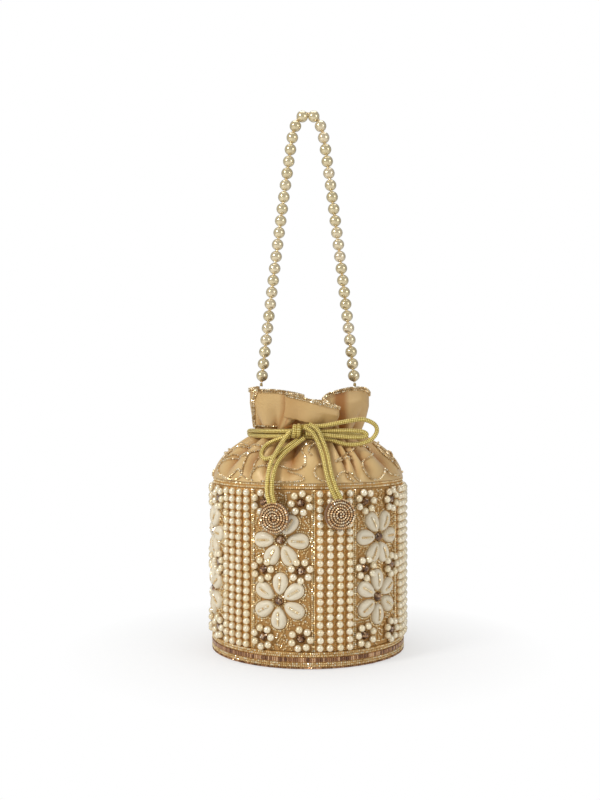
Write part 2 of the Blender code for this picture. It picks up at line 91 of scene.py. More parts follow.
class Finish:
    """A material; its sockets take numbers, colours or wires."""

    def __init__(self, name, sockets):
        self.material = bpy.data.materials.new(name)
        self.material.use_nodes = True
        self.tree = self.material.node_tree
        self.shader = self.tree.nodes["Principled BSDF"]
        self.plug(self.shader, sockets)

    def plug(self, node, sockets):
        for name, value in sockets.items():
            if isinstance(value, Wire):
                self.tree.links.new(value.socket, node.inputs[name])
            else:
                node.inputs[name].default_value = value

    def node(self, kind, settings, sockets, out=0):
        """A node of this kind, with its settings first and then its sockets."""
        made = self.tree.nodes.new("ShaderNode" + kind)
        for name, value in settings.items():
            setattr(made, name, value)
        self.plug(made, sockets)
        return Wire(self, made.outputs[out])

    def place(self):
        """Where the shaded point lies on the bag."""
        return self.node("TexCoord", {}, {}, out="Object")

    def parts(self, vector):
        """The numbers of a vector."""
        split = self.node("SeparateXYZ", {}, {0: vector}).socket.node
        return [Wire(self, socket) for socket in split.outputs]

    def kept(self, name):
        """A number that the mesh keeps for its points."""
        return self.node("Attribute", {"attribute_name": name}, {}, out="Fac")

    def noise(self, scale, detail, distortion=0.0):
        """Soft random patches."""
        return self.node("TexNoise", {}, {"Vector": self.place(), "Scale": scale,
                                          "Detail": detail, "Distortion": distortion})

    def blend(self, share, first, second):
        """From one colour to another by this share."""
        return self.node("Mix", {"data_type": "RGBA"}, {0: share, 6: first, 7: second}, out=2)

    def ramp(self, share, stops):
        """Through the colours of these stops by this share."""
        made = self.node("ValToRGB", {}, {0: share})
        elements = made.socket.node.color_ramp.elements
        for place, color in stops[2:]:
            elements.new(place)
        for stop, (place, color) in zip(elements, stops):
            stop.position, stop.color = place, (*color, 1)
        return made

    def bump(self, strength, distance, height):
        """A relief too fine for the mesh, for the Normal socket."""
        return self.node("Bump", {}, {"Strength": strength, "Distance": distance,
                                      "Height": height})

    def dress(self, **sockets):
        """Plugs the varying sockets of the shader."""
        names = {"color": "Base Color", "rough": "Roughness", "normal": "Normal"}
        self.plug(self.shader, {names[key]: value for key, value in sockets.items()})
        return self


LENS_PLACE = (-0.0056, -0.714, 0.1715)
LENS_LENGTH = 45.9
FILM_HEIGHT = 36

lens = bpy.data.cameras.new("photo_view")
lens.sensor_fit = "VERTICAL"
lens.sensor_height = FILM_HEIGHT
lens.lens = LENS_LENGTH
lens.clip_start = 0.05
camera = bpy.data.objects.new("photo_view", lens)
camera.location = LENS_PLACE
camera.rotation_euler = (math.pi / 2, 0, 0)
bpy.context.scene.collection.objects.link(camera)
bpy.context.scene.camera = camera
bpy.context.scene.view_settings.view_transform = "Standard"

ROOM_LEVEL = 0.34
PAPER_GLOW = 0.60       # share of the paper's white that doesn't take the shadow
SHADOW_REACH = (0.07, 0.17)    # from the middle: the shadow is whole, and has faded

room = bpy.data.worlds.new("room")
room.use_nodes = True
bpy.context.scene.world = room
nodes, link = room.node_tree.nodes, room.node_tree.links.new
rays = nodes.new("ShaderNodeLightPath")
seen = nodes.new("ShaderNodeMath")
seen.operation = "MAXIMUM"
strength = nodes.new("ShaderNodeMapRange")
strength.inputs["To Min"].default_value = ROOM_LEVEL
link(rays.outputs["Is Camera Ray"], seen.inputs[0])
link(rays.outputs["Is Transmission Ray"], seen.inputs[1])
link(seen.outputs[0], strength.inputs["Value"])
link(strength.outputs["Result"], nodes["Background"].inputs["Strength"])
nodes["Background"].inputs["Color"].default_value = (1, 1, 1, 1)

# Place, height of the point it looks at, size and watts of each soft box
LAMPS = {"key": ((-0.80, -0.68, 0.72), 0.12, 0.28, 7.0),
         "fill": ((0.80, -0.60, 0.40), 0.12, 0.50, 2.3),
         "top": ((0.0, 0.15, 1.10), 0.10, 0.70, 3.2)}
for name, (place, aim, size, power) in LAMPS.items():
    light = bpy.data.lights.new(name, "AREA")
    light.size = size
    light.energy = power
    lamp = bpy.data.objects.new(name, light)
    lamp.location = place
    lamp.rotation_euler = (Vector((0, 0, aim)) - Vector(place)).to_track_quat("-Z", "Y").to_euler()
    bpy.context.scene.collection.objects.link(lamp)


def mesh_of(bm, name):
    """The mesh that the bmesh holds."""
    mesh = bpy.data.meshes.new(name)
    bm.to_mesh(mesh)
    bm.free()
    return mesh


bm = bmesh.new()
bmesh.ops.create_grid(bm, x_segments=1, y_segments=1, size=6)
paper = bpy.data.objects.new("paper", mesh_of(bm, "paper"))
bpy.context.scene.collection.objects.link(paper)
paper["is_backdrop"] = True

paper_finish = Finish("paper", {"Base Color": (0.9, 0.9, 0.9, 1), "Roughness": 0.9})
glow = paper_finish.node("Emission", {}, {"Color": (1, 1, 1, 1), "Strength": 1.0})
spread = paper_finish.node("VectorMath", {"operation": "LENGTH"},
                           {0: paper_finish.place()}, out=1)
share = paper_finish.node("MapRange", {}, {0: spread, 1: SHADOW_REACH[0], 2: SHADOW_REACH[1],
                                           3: PAPER_GLOW, 4: 1.0})
seen_share = paper_finish.node("LightPath", {}, {}) * share
paper_finish.plug(paper_finish.tree.nodes["Material Output"], {"Surface": paper_finish.node(
    "MixShader", {}, {0: seen_share, 1: Wire(paper_finish, paper_finish.shader.outputs[0]),
                      2: glow})})
paper.data.materials.append(paper_finish.material)


# Card base and card wall
# A disc and a ring of grey-brown card, glued together, keep the body round. Card is
# pressed from fibres, so its colour is flecked and its face is a little rough.
def cover(node, finish):
    """Gives a piece of the source its finish."""
    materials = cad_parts[node].data.materials
    materials.clear()
    materials.append(finish.material)


card = Finish("card", {})
grain = card.noise(900.0, 4.0)
card.dress(color=card.ramp(grain, ((0.30, (0.30, 0.22, 0.13)), (0.55, (0.50, 0.40, 0.27)),
                                   (0.75, (0.62, 0.52, 0.38)))),
           rough=0.75 + grain * 0.2, normal=card.bump(0.4, 0.0002, grain))
for node in ("base_disc", "body_wall"):
    cover(node, card)


# Lining
# A cup of thin golden cotton in a plain weave. It lies inside the card and is sewn in
# along the top of the wall.
THREAD = 0.00042


def weave(around, up, thread=THREAD):
    """Height of a plain weave from two lengths along the cloth."""
    turns = math.pi / thread
    return 0.5 + (around * turns).sine() * (up * turns).sine() * 0.5


def round_and_up(finish, radius):
    """Lengths round the bag and up it, from the place on the bag."""
    x, y, up = finish.parts(finish.place())
    return x.maths("ARCTAN2", y) * radius, up


LINING_RADIUS = 0.0610

lining = Finish("lining_cotton", {"Roughness": 0.8})
threads = weave(*round_and_up(lining, LINING_RADIUS))
lining.dress(color=lining.blend(threads, (0.40, 0.26, 0.12, 1), (0.62, 0.44, 0.24, 1)),
             normal=lining.bump(0.5, 0.0002, threads))
cover("lining_cup", lining)


# Pearl stripes
# Six strips of gold cloth, each sewn with four strings of ivory imitation pearls. A row of
# small gold seed beads fills the furrow between two strings.
FACE_RADIUS = 0.0648          # outer face of the cloth on the wall
CLOTH = 0.0010                # thickness
PANEL_BOTTOM = 0.0113
PANEL_TOP = 0.1142
PANEL_HEIGHT = PANEL_TOP - PANEL_BOTTOM
REPEATS = 6
FIRST_STRIPE = math.radians(14.6)
STRIPE_ARC = math.radians(24)
COLUMNS = 4
PEARLS = 21
PEARL = 0.0047                # widths of a pearl and of the small beads
FURROW_SEED = 0.0012
SEED = 0.0013
STRING_SPREAD = 0.94          # the strings lie a little closer than a quarter of the strip
FURROW_SEEDS = 80
PEARL_RISE = 0.46             # a pearl's middle above the cloth, as a share of its size
CLOTH_GAP = 0.004             # angle between two strips of cloth

chance = np.random.default_rng(11)


def round_point(angle, radius, height):
    """A point round the bag."""
    return Vector((radius * math.sin(angle), -radius * math.cos(angle), height))


def seat(angle, radius, height):
    """A frame on the body: X runs round the bag, Y up it and Z out of it."""
    along = Vector((math.cos(angle), math.sin(angle), 0))
    turn = Matrix((along, Vector((0, 0, 1)), round_point(angle, 1, 0))).transposed().to_4x4()
    return Matrix.Translation(round_point(angle, radius, height)) @ turn


def shape_of(bm, smooth=True):
    """What the bmesh holds, kept as a mesh to copy."""
    for face in bm.faces:
        face.smooth = smooth
    return mesh_of(bm, "shape")


def bead_shape(around, rings, size, smooth=True):
    """A round or barrel bead with its hole along X; size is its length and two widths."""
    bm = bmesh.new()
    bmesh.ops.create_uvsphere(bm, u_segments=around, v_segments=rings, radius=0.5)
    bmesh.ops.rotate(bm, matrix=Matrix.Rotation(math.pi / 2, 3, "Y"), verts=bm.verts)
    bmesh.ops.scale(bm, vec=size, verts=bm.verts)
    return shape_of(bm, smooth)


def shown(name, mesh, body="bag"):
    """An object of this mesh that rides on a body of the bag."""
    made = bpy.data.objects.new(name, mesh)
    bpy.context.scene.collection.objects.link(made)
    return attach(made, body)


def raised(place, height):
    """The same frame, moved out along its Z."""
    return place @ Matrix.Translation((0, 0, height))


def rolled(places):
    """The same places with each bead turned its own way round its thread."""
    return [place @ Matrix.Rotation(chance.uniform(0, 2 * math.pi), 4, "X") for place in places]


def beadwork(name, *lots, body="bag"):
    """One piece of many beads. A lot is a shape, the places of its copies and their finish."""
    bm = bmesh.new()
    corners, faces, finishes = [], [], []
    for shape, places, finish in lots:
        if finish not in finishes:
            finishes.append(finish)
        for place in places:
            copy = shape.copy()
            copy.transform(place)
            bm.from_mesh(copy)
            bpy.data.meshes.remove(copy)
            corners.append(len(shape.vertices))
            faces.append((finishes.index(finish), len(shape.polygons)))
    mesh = mesh_of(bm, name)
    for finish in finishes:
        mesh.materials.append(finish.material)
    slots, counts = zip(*faces)
    mesh.polygons.foreach_set("material_index", np.repeat(slots, counts))
    tint = mesh.attributes.new("tint", "FLOAT", "POINT")
    tint.data.foreach_set("value", np.repeat(chance.random(len(corners)), corners))
    return shown(name, mesh, body)


def backing(centre, arc):
    """The strip of cloth under a panel, bent round the wall."""
    bm = bmesh.new()
    bmesh.ops.create_grid(bm, x_segments=12, y_segments=6, size=0.5)
    grown = bmesh.ops.extrude_face_region(bm, geom=bm.faces[:])
    for item in grown["geom"]:
        if isinstance(item, bmesh.types.BMVert):
            item.co.z = 1
    bmesh.ops.recalc_face_normals(bm, faces=bm.faces)
    for vert in bm.verts:
        vert.co = round_point(centre + vert.co.x * arc, FACE_RADIUS - CLOTH * (1 - vert.co.z),
                              PANEL_BOTTOM + (vert.co.y + 0.5) * PANEL_HEIGHT)
    return shape_of(bm, smooth=False)


def cloth(name, dark, light):
    """A woven cloth round the body, of two colours of yarn."""
    made = Finish(name, {"Roughness": 0.55, "Metallic": 0.15})
    threads = weave(*round_and_up(made, FACE_RADIUS))
    return made.dress(color=made.blend(threads, (*dark, 1), (*light, 1)),
                      normal=made.bump(0.6, 0.0002, threads))


gold_cloth = cloth("gold_cloth", (0.62, 0.30, 0.07), (0.92, 0.55, 0.17))


def bead_finish(name, stops, rough, metal, coat, coat_rough=0.05, coat_ior=1.5):
    """A bead's finish whose colour changes from bead to bead along these stops."""
    made = Finish(name, {"Roughness": rough, "Metallic": metal, "Coat Weight": coat,
                         "Coat Roughness": coat_rough, "Coat IOR": coat_ior})
    return made.dress(color=made.ramp(made.kept("tint"), stops))


ivory_pearl = bead_finish("ivory_pearl", (
    (0.0, (0.90, 0.75, 0.46)), (0.4, (0.94, 0.81, 0.55)), (0.8, (0.96, 0.86, 0.63)),
    (1.0, (0.93, 0.77, 0.51))), 0.26, 0.3, 1.0, 0.16, 1.9)
amber_seed = bead_finish("amber_seed", (
    (0.0, (0.82, 0.48, 0.13)), (0.6, (0.94, 0.65, 0.25)), (1.0, (0.98, 0.84, 0.48))),
    0.25, 0.2, 0.5)

pearl_shape = bead_shape(12, 8, (PEARL, PEARL, PEARL))
furrow_shape = bead_shape(5, 4, (FURROW_SEED * 0.9, FURROW_SEED, FURROW_SEED))
upright = Matrix.Rotation(math.pi / 2, 4, "Z")


def column(angle, radius, size, count):
    """Places of a string of beads that runs up the body, each a little out of line."""
    pitch = PANEL_HEIGHT / count
    return [seat(angle + chance.normal(0, size * 0.035) / FACE_RADIUS, radius,
                 PANEL_BOTTOM + (row + 0.5) * pitch) @ upright for row in range(count)]


for number in range(REPEATS):
    centre = FIRST_STRIPE + 2 * math.pi * number / REPEATS
    step = STRIPE_ARC / COLUMNS * STRING_SPREAD
    strings, furrows = [], []
    for place in range(COLUMNS):
        strings += column(centre + (place - (COLUMNS - 1) / 2) * step,
                          FACE_RADIUS + PEARL * PEARL_RISE, PEARL, PEARLS)
    for place in range(COLUMNS + 1):
        furrows += column(centre + (place - COLUMNS / 2) * step,
                          FACE_RADIUS + FURROW_SEED * 0.4, FURROW_SEED, FURROW_SEEDS)
    stripe = beadwork(f"pearl_stripe_{number + 1}",
                      (backing(centre, STRIPE_ARC - CLOTH_GAP), [Matrix()], gold_cloth),
                      (pearl_shape, strings, ivory_pearl),
                      (furrow_shape, furrows, amber_seed))
    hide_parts(f"pearl_panel_{number + 1}")


# Flower panels
# Six strips of browner cloth between the stripes. On each are sewn two flowers of six
# cut cowrie shells round a brown stone, six rosettes of pearls round a small stone, and
# a filling of short lines of seed beads. Two rows of seed beads hide the seams.
PANEL_ARC = 2 * math.pi / REPEATS - STRIPE_ARC
SHELL = Vector((0.0140, 0.0101, 0.0038))
SLIT_BEAD = 0.0013
SHELL_RING = 0.0112           # middle of a shell from the middle of its flower
UPPER_SHELLS = (0, 60, 120, 180, 243, 297)
LOWER_SHELLS = (30, 90, 150, 210, 270, 330)
FLOWERS = ((0.69, -0.0006, UPPER_SHELLS), (0.31, -0.0016, LOWER_SHELLS))
STONE = 0.0035                # radius of the stone in a flower
STONE_SEEDS = 17
STONE_RISE = 0.0016           # middle of a stone above the cloth
SMALL_STONE_RISE = 0.0014
STONE_SEED_RISE = 0.0008
SHELL_REACH = (-0.0036, 0.0, 0.0034)  # places along a shell that no seed bead comes near
ROSETTE_PLACES = [(share, side) for share in (0.08, 0.50, 0.92) for side in (-0.0124, 0.0124)]
ROSETTE_RING = 0.0061
ROSETTE_PEARLS = 7
BORDER_ROWS = (-0.0005, 0.0008)  # rows of seed beads, inwards of the panel's edge
BORDER_SEEDS = 82
EDGE_CLEAR = 0.0018           # no bead of an outline comes nearer to the panel's edge
FILL_TRIES = 7000
OUTLINE_STEPS = 12            # beads from a petal's tip to each side, and degrees between them
OUTLINE_TURN = 9.5
LINE_PITCH = SEED * 1.02


def shell_shape():
    """A cut cowrie: a thick petal, broad at its outer end, with a toothed slit along it."""
    bm = bmesh.new()
    bmesh.ops.create_uvsphere(bm, u_segments=22, v_segments=18, radius=1)
    bmesh.ops.rotate(bm, matrix=Matrix.Rotation(math.pi / 2, 3, "Y"), verts=bm.verts)
    for vert in bm.verts:
        x, y, z = vert.co
        y *= 1 + 0.22 * x
        z = math.copysign(abs(z) ** 0.8, z) * (1 - 0.10 * x)
        along = min(1.0, abs(x) / 0.74)
        tooth = 0.07 * math.cos(x * 17 * math.pi) if 0.10 < abs(y) < 0.34 else 0.0
        if z > 0:
            z -= (0.50 + tooth) * math.exp(-(y / 0.20) ** 2) * (1 - along ** 4)
        vert.co = (x * SHELL.x / 2, y * SHELL.y / 2, max(z, -0.2) * SHELL.z)
    return shape_of(bm)


def stone_shape(radius, height):
    """A round stone with a flat table and eight crown facets."""
    bm = bmesh.new()
    bmesh.ops.create_cone(bm, cap_ends=True, segments=8, radius1=radius, radius2=radius * 0.5,
                          depth=height)
    rim = [edge for edge in bm.edges if all(vert.co.z < 0 for vert in edge.verts)]
    bmesh.ops.bevel(bm, geom=rim, offset=height * 0.3, segments=1, profile=0.5, affect="EDGES",
                    material=-1)
    return shape_of(bm, smooth=False)


brown_cloth = cloth("brown_cloth", (0.37, 0.18, 0.05), (0.64, 0.37, 0.11))
gold_seed = bead_finish("gold_seed", (
    (0.0, (0.72, 0.46, 0.19)), (0.3, (0.92, 0.70, 0.38)), (0.7, (0.97, 0.83, 0.56)),
    (1.0, (0.98, 0.92, 0.76))), 0.18, 0.5, 0.5)
champagne_seed = bead_finish("champagne_seed", (
    (0.0, (0.62, 0.39, 0.14)), (0.3, (0.84, 0.61, 0.28)), (0.7, (0.92, 0.75, 0.43)),
    (1.0, (0.97, 0.90, 0.68))), 0.18, 0.3, 0.6)
cowrie = Finish("cowrie_shell", {"Coat Weight": 0.25, "Coat Roughness": 0.2})
streaks = cowrie.noise(420.0, 3.0)
cowrie.dress(color=cowrie.blend(streaks * 0.5 + cowrie.kept("tint") * 0.4,
                                (0.88, 0.80, 0.63, 1), (0.72, 0.61, 0.42, 1)),
             rough=0.32 + streaks * 0.2, normal=cowrie.bump(0.15, 0.0003, streaks))
brown_stone = Finish("brown_stone", {"Roughness": 0.08, "Metallic": 0.6, "Coat Weight": 1.0,
                                     "Coat Roughness": 0.02})
# The stone's colour cell by cell: the dark and mid brown cells are its own tone, and the palest
# cells are painted glints off its facets.
facets = brown_stone.node("TexVoronoi", {}, {"Vector": brown_stone.place(), "Scale": 900.0},
                          out="Color")
brown_stone.dress(color=brown_stone.ramp(facets, (
    (0.25, (0.07, 0.025, 0.008)), (0.55, (0.24, 0.11, 0.04)), (0.72, (0.46, 0.26, 0.12)),
    (0.85, (0.90, 0.76, 0.58)))))

seed_shape = bead_shape(6, 4, (SEED * 0.9, SEED, SEED), smooth=False)
cowrie_shape = shell_shape()
big_stone = stone_shape(STONE, STONE * 0.8)
small_stone = stone_shape(STONE * 0.96, 0.0026)
slit_shape = bead_shape(6, 4, (SLIT_BEAD, 0.0014, 0.0014), smooth=False)


def circle(count, radius, start=0.0):
    """Turns and shifts of things set in a ring."""
    return [Matrix.Rotation(start + 2 * math.pi * spot / count, 4, "Z")
            @ Matrix.Translation((radius, 0, 0)) for spot in range(count)]


def bent(centre, x, y, out):
    """A frame on the panel, x along it from its middle, y up it and out of it."""
    return seat(centre + x / FACE_RADIUS, FACE_RADIUS + out, y)


def outlined(petals):
    """Seed beads couched round a flower's petals, apart from where another petal lies."""
    beads = []
    for x, y, angle in petals:
        ahead = Vector((math.cos(angle), math.sin(angle)))
        aside = Vector((-ahead.y, ahead.x))
        for step in range(-OUTLINE_STEPS, OUTLINE_STEPS + 1):
            turn = math.radians(step * OUTLINE_TURN)
            spot = Vector((x, y)) + ahead * ((SHELL.x / 2 + SEED * 0.75) * math.cos(turn)) \
                + aside * ((SHELL.y / 2 * (1 + 0.2 * math.cos(turn)) + SEED * 0.75) * math.sin(turn))
            others = [(spot - Vector((a, b))).length for a, b, c in petals if c != angle]
            if min(others) > SHELL.x * 0.47:
                beads.append((spot.x, spot.y, angle + turn + math.pi / 2))
    return beads


def filling(taken):
    """Short wandering lines of seed beads wherever nothing else is sewn on the panel."""
    half = PANEL_ARC * FACE_RADIUS / 2 - BORDER_ROWS[1] - SEED * 0.9
    beads = []
    spots = np.empty((0, 2))
    for attempt in range(FILL_TRIES):
        x, y = chance.uniform(-half, half), chance.uniform(PANEL_BOTTOM + SEED, PANEL_TOP - SEED)
        heading = chance.uniform(0, 2 * math.pi)
        bend = chance.normal(0, 0.22)
        line = []
        for bead in range(chance.integers(4, 9)):
            inside = abs(x) < half and PANEL_BOTTOM + SEED / 2 < y < PANEL_TOP - SEED / 2
            free = all((x - a) ** 2 + (y - b) ** 2 > reach ** 2 for a, b, reach in taken)
            near = len(spots) and np.min(np.hypot(spots[:, 0] - x, spots[:, 1] - y)) < SEED * 1.08
            if not inside or not free or near:
                break
            line.append((x, y, heading))
            x += LINE_PITCH * math.cos(heading)
            y += LINE_PITCH * math.sin(heading)
            heading += bend
        if len(line) > 1:
            beads += line
            spots = np.vstack((spots, [(a, b) for a, b, turn in line]))
    return beads


for number in range(REPEATS):
    centre = FIRST_STRIPE + 2 * math.pi * (number + 0.5) / REPEATS
    shells, stones, small_stones, slits, pearls, seeds = [], [], [], [], [], []
    taken, rows = [], []
    for share, aside, turns in FLOWERS:
        y = PANEL_BOTTOM + share * PANEL_HEIGHT
        middle = bent(centre, aside, y, 0)
        petals = []
        stones.append(raised(middle, STONE_RISE))
        seeds += [raised(middle @ spot @ upright, STONE_SEED_RISE)
                  for spot in circle(STONE_SEEDS, STONE + SEED * 0.5)]
        taken.append((aside, y, STONE + SEED * 1.6))
        for turn in turns:
            angle = math.radians(turn + chance.normal(0, 2.0))
            x, up = aside + SHELL_RING * math.cos(angle), SHELL_RING * math.sin(angle)
            petals.append((x, y + up, angle))
            petal = bent(centre, x, y + up, 0.0002) @ Matrix.Rotation(angle, 4, "Z")
            shells.append(petal)
            slits += [petal @ Matrix.Translation((place * SLIT_BEAD, 0,
                                                  SHELL.z * (0.82 - 0.012 * place ** 2)))
                      for place in range(-3, 4)]
            for along in SHELL_REACH:
                taken.append((x + along * math.cos(angle), y + up + along * math.sin(angle),
                              SHELL.y / 2 + SEED * 0.35))
        for x, up, heading in outlined(petals):
            rows.append((x, up, heading))
            taken.append((x, up, SEED * 0.95))
    for share, x in ROSETTE_PLACES:
        y = PANEL_BOTTOM + share * PANEL_HEIGHT
        middle = bent(centre, x, y, 0)
        small_stones.append(raised(middle, SMALL_STONE_RISE))
        pearls += [raised(middle @ spot, PEARL * PEARL_RISE)
                   for spot in circle(ROSETTE_PEARLS, ROSETTE_RING, chance.uniform(0, 1))]
        taken.append((x, y, ROSETTE_RING + PEARL / 2 + SEED * 0.2))
    rows = [row for row in rows if abs(row[0]) < PANEL_ARC * FACE_RADIUS / 2 - EDGE_CLEAR
            and all(math.hypot(row[0] - x, row[1] - y) > reach for x, y, reach in taken[-6:])]
    for inset in BORDER_ROWS:
        for side in (-1, 1):
            edge = side * (PANEL_ARC / 2 - inset / FACE_RADIUS)
            seeds += column(centre + edge, FACE_RADIUS + SEED * 0.5, SEED, BORDER_SEEDS)
    for x, y, heading in rows + filling(taken):
        seeds.append(bent(centre, x, y, SEED * 0.40) @ Matrix.Rotation(heading, 4, "Z"))
    panel = beadwork(f"shell_flowers_{number + 1}",
                     (backing(centre, PANEL_ARC - CLOTH_GAP), [Matrix()], brown_cloth),
                     (cowrie_shape, shells, cowrie), (slit_shape, rolled(slits), gold_seed),
                     (big_stone, stones, brown_stone), (small_stone, small_stones, brown_stone),
                     (pearl_shape, pearls, ivory_pearl),
                     (seed_shape, rolled(seeds), champagne_seed))
    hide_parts(f"flower_panel_{number + 1}")


# Beaded bands
# Rows of seed beads couched round the foot and round the top of the wall on tan cloth.
# The foot's lowest row is copper, and higher up is one of upright copper bugle beads.
BAND = (0.0004, 0.0110, 0.0020)    # foot, top and thickness of the band round the foot
TRIM = (0.1145, 0.1197, 0.0013)    # the same of the band round the top of the wall
RIBBON_INSIDE = FACE_RADIUS - 0.0011
RIBBON_SIDES = 96
# Rows from the lowest up, each with the height that it takes
BAND_ROWS = (("copper", 0.0014), ("seed", 0.0014), ("seed", 0.0014), ("bugle", 0.0034),
             ("seed", 0.0015), ("seed", 0.0015))
TRIM_ROWS = (("seed", 0.0018), ("seed", 0.0022))
ROW_COUNT = 290
BUGLE = Vector((0.0012, 0.0028, 0.0014))

tan_cloth = cloth("tan_cloth", (0.46, 0.23, 0.06), (0.78, 0.46, 0.14))
copper_bead = bead_finish("copper_bead", (
    (0.0, (0.16, 0.06, 0.025)), (0.6, (0.40, 0.19, 0.08)), (1.0, (0.78, 0.50, 0.28))),
    0.15, 0.6, 0.6)
bm = bmesh.new()
bmesh.ops.create_cube(bm, size=1)
bmesh.ops.scale(bm, vec=BUGLE, verts=bm.verts)
bmesh.ops.bevel(bm, geom=bm.edges[:], offset=BUGLE.x * 0.2, segments=1, profile=0.5,
                affect="EDGES", material=-1)
bugle_shape = shape_of(bm, smooth=False)


def ring_of(height, radius, count, size):
    """Places of a string of beads laid round the body, a little uneven."""
    start = chance.uniform(0, 1)
    return [seat(2 * math.pi * (spot + start + chance.normal(0, 0.06)) / count,
                 radius + chance.normal(0, size * 0.03), height + chance.normal(0, size * 0.04))
            for spot in range(count)]


def band_cloth(foot, top, radius):
    """The ribbon that the rows are sewn on, closed round the body."""
    bm = bmesh.new()
    bmesh.ops.create_circle(bm, segments=RIBBON_SIDES, radius=radius,
                            matrix=Matrix.Translation((0, 0, foot)))
    for height, reach in ((top, radius), (top, RIBBON_INSIDE), (foot, RIBBON_INSIDE),
                          (foot, radius)):
        rim = [edge for edge in bm.edges if len(edge.link_faces) < 2][-RIBBON_SIDES:]
        grown = bmesh.ops.extrude_edge_only(bm, edges=rim)
        for item in grown["geom"]:
            if isinstance(item, bmesh.types.BMVert):
                flat = Vector((item.co.x, item.co.y, 0)).normalized() * reach
                item.co = (flat.x, flat.y, height)
    bmesh.ops.remove_doubles(bm, verts=bm.verts, dist=0.00001)
    bmesh.ops.recalc_face_normals(bm, faces=bm.faces)
    return shape_of(bm, smooth=False)


def band(name, rows, foot, top, depth, node):
    """A ribbon with its rows of beads, from the lowest up."""
    beads, height = {"seed": [], "copper": [], "bugle": []}, foot
    for kind, rise in rows:
        thick = BUGLE.z if kind == "bugle" else SEED
        beads[kind] += ring_of(height + rise / 2, FACE_RADIUS + depth - thick * 0.5, ROW_COUNT, SEED)
        height += rise
    seed = bead_shape(6, 4, (SEED * 0.95, SEED * 1.08, SEED), smooth=False)
    lots = [(band_cloth(foot, top, FACE_RADIUS + depth - SEED * 0.75), [Matrix()], tan_cloth),
            (seed, rolled(beads["seed"]), champagne_seed)]
    if beads["bugle"]:
        lots += [(seed, rolled(beads["copper"]), copper_bead),
                 (bugle_shape, beads["bugle"], copper_bead)]
    made = beadwork(name, *lots)
    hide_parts(node)
    return made


band("foot_band", BAND_ROWS, *BAND, "base_band")
band("shoulder_band", TRIM_ROWS, *TRIM, "shoulder_trim")


# Satin collar
# One sheet of champagne satin, folded double: sewn inside the beaded band, pulled into
# pleats over the shoulder by the drawcord, and standing above it as a loose ruffle.
# Heights and radii of the sheet where it leaves the wall and where the cord draws it in
COLLAR_FOOT = 0.1184
FOOT_RADIUS = 0.0661
NECK_RADIUS = 0.0357
NECK_LOW = 0.14725
NECK_HIGH = 0.15015
SATIN_THICK = 0.0009
SATIN_FLAT = (0.40, 0.068)    # round the wall, and up the shoulder and the ruffle
SATIN_THREAD = 0.00025
# Rise, spread beyond the neck and depth of the gathers, as shares, up the shoulder
SHOULDER = ((0.0, 1.00, 0.0), (0.21, 0.93, 0.26), (0.42, 0.78, 0.55), (0.62, 0.56, 0.85),
            (0.82, 0.28, 1.0), (1.0, 0.02, 0.9))
# The ruffle's folds round the hem from the back: degrees at the neck and at the hem, then
# the hem's radius and height in millimetres
FOLDS = ((-178, -178, 41.0, 172.0), (-162, -162, 36.5, 171.4), (-148, -148, 34.5, 171.6),
         (-134, -134, 41.5, 173.6), (-120, -120, 44.6, 176.4), (-106, -105, 39.5, 178.8),
         (-90, -90, 34.4, 181.0), (-80, -79, 37.5, 180.4), (-68, -67, 43.0, 179.6),
         (-57, -56, 44.4, 179.2), (-47, -45, 42.0, 178.8), (-38, -33, 39.6, 178.6),
         (-31, -15, 38.6, 176.8), (-26, -5, 40.2, 175.0), (-24, -19.5, 45.4, 176.4),
         (-11, -9, 45.6, 174.2), (1, 3, 45.6, 171.6), (11, 14, 45.4, 169.0),
         (19, 25, 45.0, 167.2), (23, 27, 43.4, 167.2), (26, 21, 39.4, 170.0),
         (29, 15, 37.2, 172.6), (33, 20, 37.0, 176.0), (38, 30, 38.4, 178.2),
         (46, 43, 41.4, 180.2), (57, 57, 44.8, 180.0), (69, 70, 44.0, 176.6),
         (79, 81, 37.6, 177.4), (90, 90, 34.4, 181.0), (103, 103, 37.0, 178.6),
         (117, 117, 43.6, 175.4), (131, 131, 43.0, 173.6), (146, 146, 35.4, 171.4),
         (163, 163, 36.0, 171.4))
# The front flap is folded under along a crease that runs down to the right
FLAP = (13.4, 16.4)
FLAP_CREASE = (0.43, 0.24)
BEHIND_FLAP = (11.56, 0.40)   # fold and reach of the shade that the flap's left edge casts
FLAP_SHADE = 0.36             # the flap's face looks a little down
RUFFLE_SHADE = 0.12           # the ruffle stands upright, away from the light above
SLOT = 23.2                   # fold at the flap's right edge, where the satin lies deepest and its painted shade is darkest
FOLD_STEPS = 10
SHOULDER_ROWS = 26
RUFFLE_ROWS = 40
PLEAT_DEPTH = 0.0056


def eased(points, place):
    """A smooth value through listed rows of numbers, at a place counted in rows."""
    first = min(math.floor(place), len(points) - 2)
    share = place - first
    a, b, c, d = (np.array(points[min(max(first + shift, 0), len(points) - 1)])
                  for shift in (-1, 0, 1, 2))
    return (b + 0.5 * share * (c - a) + share ** 2 * (a - 2.5 * b + 2 * c - 0.5 * d)
            + share ** 3 * (1.5 * (b - c) + 0.5 * (d - a)))


def fold_at(place):
    """Neck angle, hem angle, hem radius and hem height at this place along the cloth."""
    folds = []
    first = math.floor(place)
    for index in range(first - 1, first + 3):
        neck, hem, radius, height = FOLDS[index % len(FOLDS)]
        turn = 360 * (index // len(FOLDS))
        folds.append((neck + turn, hem + turn, radius, height))
    neck, hem, radius, height = eased(folds, place - first + 1)
    return math.radians(neck), math.radians(hem), radius / 1000, height / 1000


def pleat(place):
    """Rise of the gathers, from a valley to the crest that every other fold is."""
    return abs(math.cos(math.pi * place / 2)) ** 1.1 - 0.62


